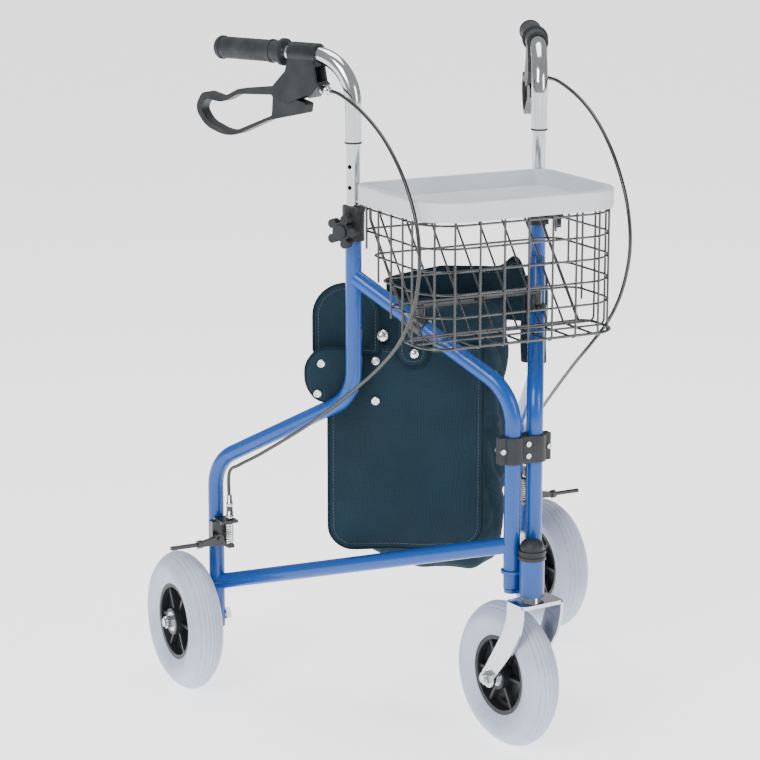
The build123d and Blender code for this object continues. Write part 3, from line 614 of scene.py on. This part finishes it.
def stitches(name, places, normals, body_name, pitch=4.6, length=3.0):
    """A row of short raised stitches along a line of points."""
    lengths = [0.0]
    for a, b in zip(places, places[1:]):
        lengths.append(lengths[-1] + (b - a).length)
    meshes = []
    goal = pitch * MM / 2
    segment = 0
    while goal < lengths[-1]:
        while lengths[segment + 1] < goal:
            segment += 1
        share = (goal - lengths[segment]) / (lengths[segment + 1] - lengths[segment])
        centre = places[segment].lerp(places[segment + 1], share)
        ahead = (places[segment + 1] - places[segment]).normalized()
        out = normals[segment]
        half = length * MM / 2
        path = [
            centre - ahead * half - out * 0.35 * MM,
            centre - ahead * half * 0.5 + out * 0.25 * MM,
            centre + out * 0.4 * MM,
            centre + ahead * half * 0.5 + out * 0.25 * MM,
            centre + ahead * half - out * 0.35 * MM,
        ]
        meshes.append(swept(path, (0.42 * MM, 0.42 * MM), 6))
        goal += pitch * MM
    points, faces = join(*meshes)
    return new_mesh(name, points, faces, thread, body_name)


def outline_of(left, right, low, high, corner_low, corner_high, inset=0.0, step=4.0):
    """The (s, z) outline of a panel, from its top left down, along the bottom and up again."""
    left, right, low, high = left + inset, right - inset, low + inset, high - inset
    corner_low = max(0.5, corner_low - inset)
    corner_high = max(0.5, corner_high - inset)
    turns = 10
    line = []

    def arc(cx, cz, radius, start, end):
        for k in range(turns + 1):
            angle = math.radians(start + (end - start) * k / turns)
            line.append((cx + radius * math.cos(angle), cz + radius * math.sin(angle)))

    arc(left + corner_high, high - corner_high, corner_high, 90, 180)
    arc(left + corner_low, low + corner_low, corner_low, 180, 270)
    arc(right - corner_low, low + corner_low, corner_low, 270, 360)
    arc(right - corner_high, high - corner_high, corner_high, 0, 90)
    line.append(line[0])
    dense = [line[0]]
    for a, b in zip(line, line[1:]):
        reach = math.dist(a, b)
        steps = max(1, int(reach / step))
        for k in range(1, steps + 1):
            dense.append((a[0] + (b[0] - a[0]) * k / steps, a[1] + (b[1] - a[1]) * k / steps))
    return dense


def draped_panel(name, left, right, low, high, corner_low, corner_high, lift, wave, smooth=10):
    """A bound and stitched panel lying on the bag's front, as a sheet piece."""
    thickness = 1.6
    drape = Drape(left - 6, right + 6, low - 6, high + 6, lift, smooth=smooth, wave=wave)

    def place(u, v):
        s, z = panel_edges(u, v, left, right, low, high, corner_low, corner_high)
        return drape.point(s, z), drape.outward(s, z)

    columns = max(12, int((right - left) / 4))
    rows = max(12, int((high - low) / 4))
    panel = sheet_piece(name, columns, rows, place, thickness * MM, fabric, "stem")
    edge = outline_of(left, right, low, high, corner_low, corner_high)
    tape = bound_edge(f"{name}_binding", drape, edge)
    row = outline_of(left, right, low, high, corner_low, corner_high, inset=7.0)
    places = [drape.point(s, z, thickness / 2 + 0.1) for s, z in row]
    normals = [drape.outward(s, z) for s, z in row]
    seam = stitches(f"{name}_stitching", places, normals, "stem")
    area = (right - left) * (high - low)
    area -= (4 - math.pi) / 2 * (corner_low**2 + corner_high**2)
    return drape, [panel, tape, seam]


flap_drape, flap_pieces = draped_panel(
    "bag_flap", FLAP_LEFT, FLAP_LEFT + FLAP_WIDTH, FLAP_LOW, FLAP_HIGH, FLAP_CORNER, 6, 3.2, 5.0,
    smooth=30,
)
side_drape, side_pieces = draped_panel("bag_side_panel", -30, 62, 508, 606, 8, 44, 6.5, 3.0)
tab_drape, tab_pieces = draped_panel("bag_tab", 84, 128, 494, 560, 20, 8, 8.5, 2.0)


# Press studs in section, from the rim to the middle: (share of the radius, height).
SNAP_RING = ((1, -0.4), (1, 0.8), (0.86, 1.7), (0.55, 1.8), (0.42, 0.9), (0.36, 0.7), (0.2, 1.5), (0.04, 1.7))
SNAP_DOME = ((1, -0.4), (1, 0.7), (0.93, 1.5), (0.75, 2.5), (0.5, 3.2), (0.25, 3.55), (0.04, 3.6))


def snap(name, centre, outward, radius=6.5, body_name="stem", ring=False):
    r = radius * MM
    shape = SNAP_RING if ring else SNAP_DOME
    profile = [(r * share, height * MM) for share, height in shape]
    points, faces = lathe(profile, centre, outward, 28)
    return new_mesh(name, points, faces, nickel, body_name)


FRONT_WAY = -BACK
SNAPS = (
    ("bag_snap_dome", side_drape, 65, 535, 8.0, False),
    ("bag_snap_a", flap_drape, 55, 501, 6.0, True),
    ("bag_snap_b", flap_drape, 55, 446, 6.0, True),
    ("bag_snap_tab", tab_drape, 108, 512, 6.6, False),
)
bag_snaps = []
for name, drape, s, z, radius, ring in SNAPS:
    outward = drape.outward(s, z)
    bag_snaps.append(snap(name, drape.point(s, z, 2.4), outward, radius, ring=ring))


# The back panel stands above the bag's mouth, with a rounded tab at its right end.
BACK_PANEL = ((70, 82), (110, 88), (160, 90), (205, 88), (240, 80), (262, 70))


def along_curve(line, share):
    """The point a share of the way along a smooth curve through the line's points."""
    reach = share * (len(line) - 1)
    index = min(int(reach), len(line) - 2)
    t = reach - index
    before = line[max(0, index - 1)]
    a, b = line[index], line[index + 1]
    after = line[min(len(line) - 1, index + 2)]
    return tuple(
        0.5 * (2 * q + (r - p) * t + (2 * p - 5 * q + 4 * r - u) * t * t + (3 * q - p - 3 * r + u) * t**3)
        for p, q, r, u in zip(before, a, b, after)
    )


def back_panel():
    def top_at(share):
        rise = 598 + 16 * min(1.0, share / 0.35)
        tab = math.exp(-(((share - 0.86) / 0.09) ** 2))
        return rise + 16 * tab - 10 * max(0.0, share - 0.93) / 0.07

    def place(u, v):
        s, d = along_curve(BACK_PANEL, u)
        low = 540
        z = low + (top_at(u) - low) * v
        wave = 2.2 * noise.noise(Vector((s * 0.03, z * 0.02, 7.7))) * (0.4 + v)
        s2, d2 = along_curve(BACK_PANEL, min(1.0, u + 0.01))
        s1, d1 = along_curve(BACK_PANEL, max(0.0, u - 0.01))
        across = bag_point(s2, d2, z) - bag_point(s1, d1, z)
        outward = across.cross(Vector((0, 0, 1))).normalized()
        return bag_point(s, d + wave - 2.0 * v, z), outward

    panel = sheet_piece("bag_back_panel", 64, 20, place, 1.8 * MM, fabric, "stem")
    path = [place(k / 80, 1.0)[0] for k in range(81)]
    points, faces = swept(path, (2.2 * MM, 1.9 * MM), 10)
    tape = new_mesh("bag_back_binding", points, faces, binding_tape, "stem")
    seam_places = [place(k / 80, 0.9) for k in range(81)]
    seam = stitches("bag_back_stitching", [p + n * 1.0 * MM for p, n in seam_places],
                    [n for _, n in seam_places], "stem")
    sheet_area(place)
    return [panel, tape, seam]


def sheet_area(place, steps=40):
    total = 0.0
    for j in range(steps):
        for i in range(steps):
            a = place(i / steps, j / steps)[0]
            b = place((i + 1) / steps, j / steps)[0]
            c = place((i + 1) / steps, (j + 1) / steps)[0]
            d = place(i / steps, (j + 1) / steps)[0]
            total += ((b - a).cross(c - a).length + (c - a).cross(d - a).length) / 2
    return total


back_pieces = back_panel()


# A fabric strap is folded over each tube and snapped to itself.
def pouch(name, outline, depth, puff, body_name):
    """A soft folded tab: an outline in (s, z), puffed either side of its depth."""
    corners = [Vector((s, z, 0)) for s, z in outline]
    ring = resampled(chaikin(corners, 3), 64)
    middle = sum(ring, Vector()) / len(ring)
    points, faces = [], []
    levels = ((1.0, 0.0), (0.965, 0.5), (0.9, 0.78), (0.72, 0.97), (0.4, 1.06), (0.12, 1.0))
    rows = [(scale, -rise) for scale, rise in reversed(levels)] + [(s, r) for s, r in levels[1:]]
    for scale, rise in rows:
        for place in ring:
            spot = middle + (place - middle) * scale
            crease = 0.35 * noise.noise(Vector((spot.x * 0.06, spot.y * 0.06, rise)))
            points.append(bag_point(spot.x, depth + puff * rise * (1 + crease), spot.y))
    count = len(ring)
    for row in range(len(rows) - 1):
        for k in range(count):
            a, b = row * count + k, row * count + (k + 1) % count
            faces.append((a, b, b + count, a + count))
    faces.append(tuple(reversed(range(count))))
    faces.append(tuple(range(len(points) - count, len(points))))
    piece = new_mesh(name, points, faces, fabric, body_name)
    return piece


# The left strap, folded over the left upright: its outline in (s, z), and its snaps.
LEFT_STRAP = (
    (-27, 518), (-4, 522), (22, 520), (30, 500), (30, 470),
    (20, 452), (-4, 446), (-26, 449), (-40, 470), (-41, 498),
)
STRAP_DEPTH = -20.0
STRAP_FRONT = -25.2
STRAP_SNAPS = ((-19, 501), (-24, 459))
pouch("bag_left_strap", LEFT_STRAP, STRAP_DEPTH, 5.0, "left_frame")
strap_rim = resampled(chaikin([Vector((s, z, 0)) for s, z in LEFT_STRAP]), 96)
rim_path = [bag_point(place.x, STRAP_DEPTH, place.y) for place in strap_rim]
points, faces = swept(rim_path, (2.2 * MM, 2.0 * MM), 10, True)
new_mesh("bag_left_strap_binding", points, faces, binding_tape, "left_frame")
for index, (s, z) in enumerate(STRAP_SNAPS):
    place = bag_point(s, STRAP_FRONT, z)
    snap(f"bag_left_strap_snap_{index}", place, FRONT_WAY, 5.6, "left_frame", True)


UPRIGHT_PLAN = (143.6, 211.7)
SLEEVE_INNER = 12.0
SLEEVE_OUTER = 14.6
SLEEVE_LOW, SLEEVE_HIGH = 478, 600
SLEEVE_SNAP_Z = 548


def right_sleeve():
    """A fabric sleeve round the right upright, open at both ends, puckered where it is snapped."""
    x, y = UPRIGHT_PLAN
    points, faces = [], []
    turns, rows = 40, 24
    for inner in (False, True):
        for j in range(rows + 1):
            z = SLEEVE_LOW + (SLEEVE_HIGH - SLEEVE_LOW) * j / rows
            middle = 1 - abs(2 * j / rows - 1) ** 4
            for k in range(turns):
                angle = math.tau * k / turns
                if inner:
                    radius = SLEEVE_INNER
                else:
                    radius = SLEEVE_OUTER + 1.1 * math.sin(3 * angle + z * 0.05) * middle
                    radius *= 1 + 0.5 * max(0.0, math.cos(angle - 2.4)) ** 8
                spot = Vector((x + radius * math.cos(angle), y + radius * math.sin(angle), z))
                points.append(spot * MM)
    offset = (rows + 1) * turns
    for j in range(rows):
        for k in range(turns):
            a, b = j * turns + k, j * turns + (k + 1) % turns
            faces.append((a, b, b + turns, a + turns))
            faces.append((a + offset, a + turns + offset, b + turns + offset, b + offset))
    for j in (0, rows):
        for k in range(turns):
            a, b = j * turns + k, j * turns + (k + 1) % turns
            faces.append((a, a + offset, b + offset, b) if j == 0 else (a, b, b + offset, a + offset))
    piece = new_mesh("bag_right_sleeve", points, faces, fabric, "right_frame")


right_sleeve()
snap_place = Vector((*UPRIGHT_PLAN, SLEEVE_SNAP_Z)) * MM + FRONT_WAY * 16.0 * MM
snap("bag_right_snap", snap_place, FRONT_WAY, 6.4, "right_frame")

# ---------------------------------------------------------------- tyres

TYRE_GROOVES = (-14.0, -8.4, -2.8, 2.8, 8.4, 14.0)
GROOVE_DEPTH = 1.7
GROOVE_WIDTH = 0.7
TREAD_FROM = 85          # the grooves are cut outside this radius
INSET = 0.05             # keeps the mesh just inside its CAD solid
# Half of the tyre's section, from the bead round to the crown: (across, radius).
TYRE_SECTION = (
    (17, 55), (21, 62), (24.4, 70), (25, 77), (23.6, 82.5),
    (20, 87.5), (14, 93.5), (7.5, 98), (0, 100),
)
BEAD_HALF, BEAD_RADIUS = TYRE_SECTION[0]
CASTER_TURN = math.radians(6)
CASTER_AXLE = Vector((math.cos(CASTER_TURN), math.sin(CASTER_TURN), 0))


def tyre_outline():
    """The tyre's whole section as a closed loop of (across, radius), with the tread's grooves."""
    half = [along_curve(TYRE_SECTION, k / 90) for k in range(91)]
    outline = half + [(-across, radius) for across, radius in reversed(half[:-1])]
    outline += [(-BEAD_HALF + 2 * BEAD_HALF * k / 6, BEAD_RADIUS) for k in range(1, 6)]
    section = []
    for across, radius in outline:
        if radius > TREAD_FROM:
            cut = sum(math.exp(-(((across - groove) / GROOVE_WIDTH) ** 2)) for groove in TYRE_GROOVES)
            radius -= GROOVE_DEPTH * min(1.0, cut)
        section.append((across * MM, (radius - INSET) * MM))
    return section


def ribbed_tyre(name, node, axis, body_name):
    """The tyre with the tread's running grooves, round its CAD solid's own centre."""
    low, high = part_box(node)
    centre = (low + high) / 2
    section = tyre_outline()
    up = Vector((0, 0, 1))
    flat = axis.cross(up).normalized()
    turns, count = 160, len(section)
    points, faces = [], []
    for k in range(turns):
        angle = math.tau * k / turns
        out = up * math.cos(angle) + flat * math.sin(angle)
        points += [centre + axis * across + out * radius for across, radius in section]
    for k in range(turns):
        here, there = k * count, (k + 1) % turns * count
        for i in range(count):
            j = (i + 1) % count
            faces.append((here + i, here + j, there + j, there + i))
    piece = new_mesh(name, points, faces, tyre, body_name)
    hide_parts(node)


ribbed_tyre("front_tread_tyre", "front_tyre", CASTER_AXLE, "front_wheel")
for side_name, _ in SIDES:
    node = f"{side_name}_rear_tyre"
    ribbed_tyre(f"{side_name}_tread_tyre", node, Vector((1, 0, 0)), f"{side_name}_wheel")

# ---------------------------------------------------------------- brake cables and springs

# The left brake cable's route in millimetres, lever to brake; the right one is its mirror image.
CABLE_ROUTE = (
    (-167.2, 240.1, 874.1), (-167.2, 200.1, 872.1), (-165, 138, 854), (-162, 84, 825),
    (-159.5, 38, 782), (-158, 6, 728), (-158, -2, 672), (-158, 14, 616), (-159.5, 48, 568),
    (-163, 94, 528), (-170, 146, 490), (-181, 200, 452), (-194, 254, 415), (-209, 304, 383),
    (-225, 350, 354), (-238, 384, 334), (-244, 405, 318), (-244, 405, 272),
)
CABLE_R = 2.5
CABLE_STEPS = 240
# Turned end fittings in section: (radius, distance past the cable's end).
LEVER_BARREL = (
    (5.6, -17.5), (5.9, -17), (5.9, -12), (4.6, -11.4), (4.6, -6.5), (6.0, -6),
    (6.0, 0), (5.6, 0.5), (4.0, 0.8), (4.0, 9), (3.5, 9.8), (2.7, 10),
)
BRAKE_BARREL = (
    (2.9, -14), (3.6, -13.5), (3.6, -4), (4.8, -3.4), (4.8, 2.5), (4.1, 3),
    (4.1, 9), (4.8, 9.5), (4.8, 15), (5.2, 15.3), (5.2, 20.5), (4.9, 21),
)
COIL_TURNS = 9
COIL_STEPS = 20
COIL_RADIUS = 4.4
COIL_WIRE = 0.75
COIL_CLEAR = 0.8          # left free at each end of the spring


def barrel(name, shape, centre, direction, body_name):
    profile = [(radius * MM, height * MM) for radius, height in shape]
    points, faces = lathe(profile, centre, direction, 28)
    new_mesh(name, points, faces, chrome, body_name)


def brake_cable(name, side):
    """A sheathed cable along a curved route from its handle down to its side frame, with its end fittings."""
    route = [along_curve(CABLE_ROUTE, k / CABLE_STEPS) for k in range(CABLE_STEPS + 1)]
    path = [Vector((-side * x, y, z)) * MM for x, y, z in route]
    points, faces = swept(path, (CABLE_R * MM, CABLE_R * MM), 14)
    cable = new_mesh(f"{name}_cable_sheath", points, faces, sheath, None)
    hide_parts(f"{name}_brake_cable")
    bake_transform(cable)
    ahead = (path[3] - path[0]).normalized()
    barrel(f"{name}_cable_barrel", LEVER_BARREL, path[0], ahead, f"{name}_handle")
    barrel(f"{name}_brake_barrel", BRAKE_BARREL, path[-1], (0, 0, -1), f"{name}_frame")


def coil_spring(name):
    """The brake's return spring round the cable's inner wire."""
    low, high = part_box(f"{name}_brake_spring")
    centre = (low + high) / 2
    reach = high.z - low.z - 2 * COIL_CLEAR * MM
    path = []
    for k in range(COIL_TURNS * COIL_STEPS + 1):
        angle = math.tau * k / COIL_STEPS
        share = k / (COIL_TURNS * COIL_STEPS)
        eased = share + 0.035 * math.sin(math.tau * share)
        path.append(
            Vector((
                centre.x + COIL_RADIUS * MM * math.cos(angle),
                centre.y + COIL_RADIUS * MM * math.sin(angle),
                low.z + COIL_CLEAR * MM + reach * eased,
            ))
        )
    points, faces = swept(path, (COIL_WIRE * MM, COIL_WIRE * MM), 8)
    coil = new_mesh(f"{name}_coil_spring", points, faces, chrome, f"{name}_frame")
    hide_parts(f"{name}_brake_spring")
    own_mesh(coil)
    wire_radius, past_end = 0.8 * MM, 5 * MM
    profile = [(wire_radius, 0), (wire_radius, high.z - low.z + 6 * MM)]
    foot = (centre.x, centre.y, low.z - past_end)
    points, faces = lathe(profile, foot, (0, 0, 1), 12)
    new_mesh(f"{name}_inner_wire", points, faces, zinc, f"{name}_frame")


for side_name, side_sign in SIDES:
    brake_cable(side_name, side_sign)
    coil_spring(side_name)

# Each of the bag's pieces gets a mesh of its own.
for piece in [body, *flap_pieces, *side_pieces, *tab_pieces, *back_pieces, *bag_snaps]:
    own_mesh(piece)

# ---------------------------------------------------------------- stage, light, camera


FLOOR_GLOW = 1.6


def stage():
    bpy.ops.mesh.primitive_plane_add(size=24, location=(0, 0, 0))
    floor = bpy.context.object
    floor.name = "floor"
    pale = Shader("floor_pale", (0.9, 0.9, 0.9), 0.9)
    pale.bsdf.inputs["Emission Color"].default_value = (1, 1, 1, 1)
    pale.bsdf.inputs["Emission Strength"].default_value = FLOOR_GLOW
    floor.data.materials.append(pale.material)
    world = bpy.data.worlds.new("studio")
    scene.world = world
    world.use_nodes = True
    world.node_tree.nodes["Background"].inputs["Color"].default_value = (1, 1, 1, 1)
    world.node_tree.nodes["Background"].inputs["Strength"].default_value = 0.45

    def softbox(name, place, aim, size, power):
        light = bpy.data.lights.new(name, "AREA")
        light.shape = "RECTANGLE"
        light.size, light.size_y = size
        light.energy = power
        holder = bpy.data.objects.new(name, light)
        holder.location = place
        holder.rotation_euler = (Vector(aim) - Vector(place)).to_track_quat("-Z", "Y").to_euler()
        scene.collection.objects.link(holder)

    softbox("key", (-2.6, -1.4, 2.6), (0, 0.2, 0.5), (1.4, 1.8), 95)
    softbox("fill", (1.6, -2.8, 1.6), (0, 0.2, 0.4), (1.2, 1.6), 40)
    softbox("top", (0.2, 0.6, 3.4), (0, 0.2, 0.4), (2.0, 2.0), 60)


stage()

CAMERA = Vector((-1.7305, -2.9278, 1.2995))
TARGET = Vector((-0.0837, 0.2500, 0.4682))
camera = bpy.data.cameras.new("camera")
camera.sensor_width = 36
camera.lens = 126.04
camera.clip_start = 0.1
holder = bpy.data.objects.new("camera", camera)
holder.location = CAMERA
holder.rotation_euler = (TARGET - CAMERA).to_track_quat("-Z", "Y").to_euler()
scene.collection.objects.link(holder)
scene.camera = holder
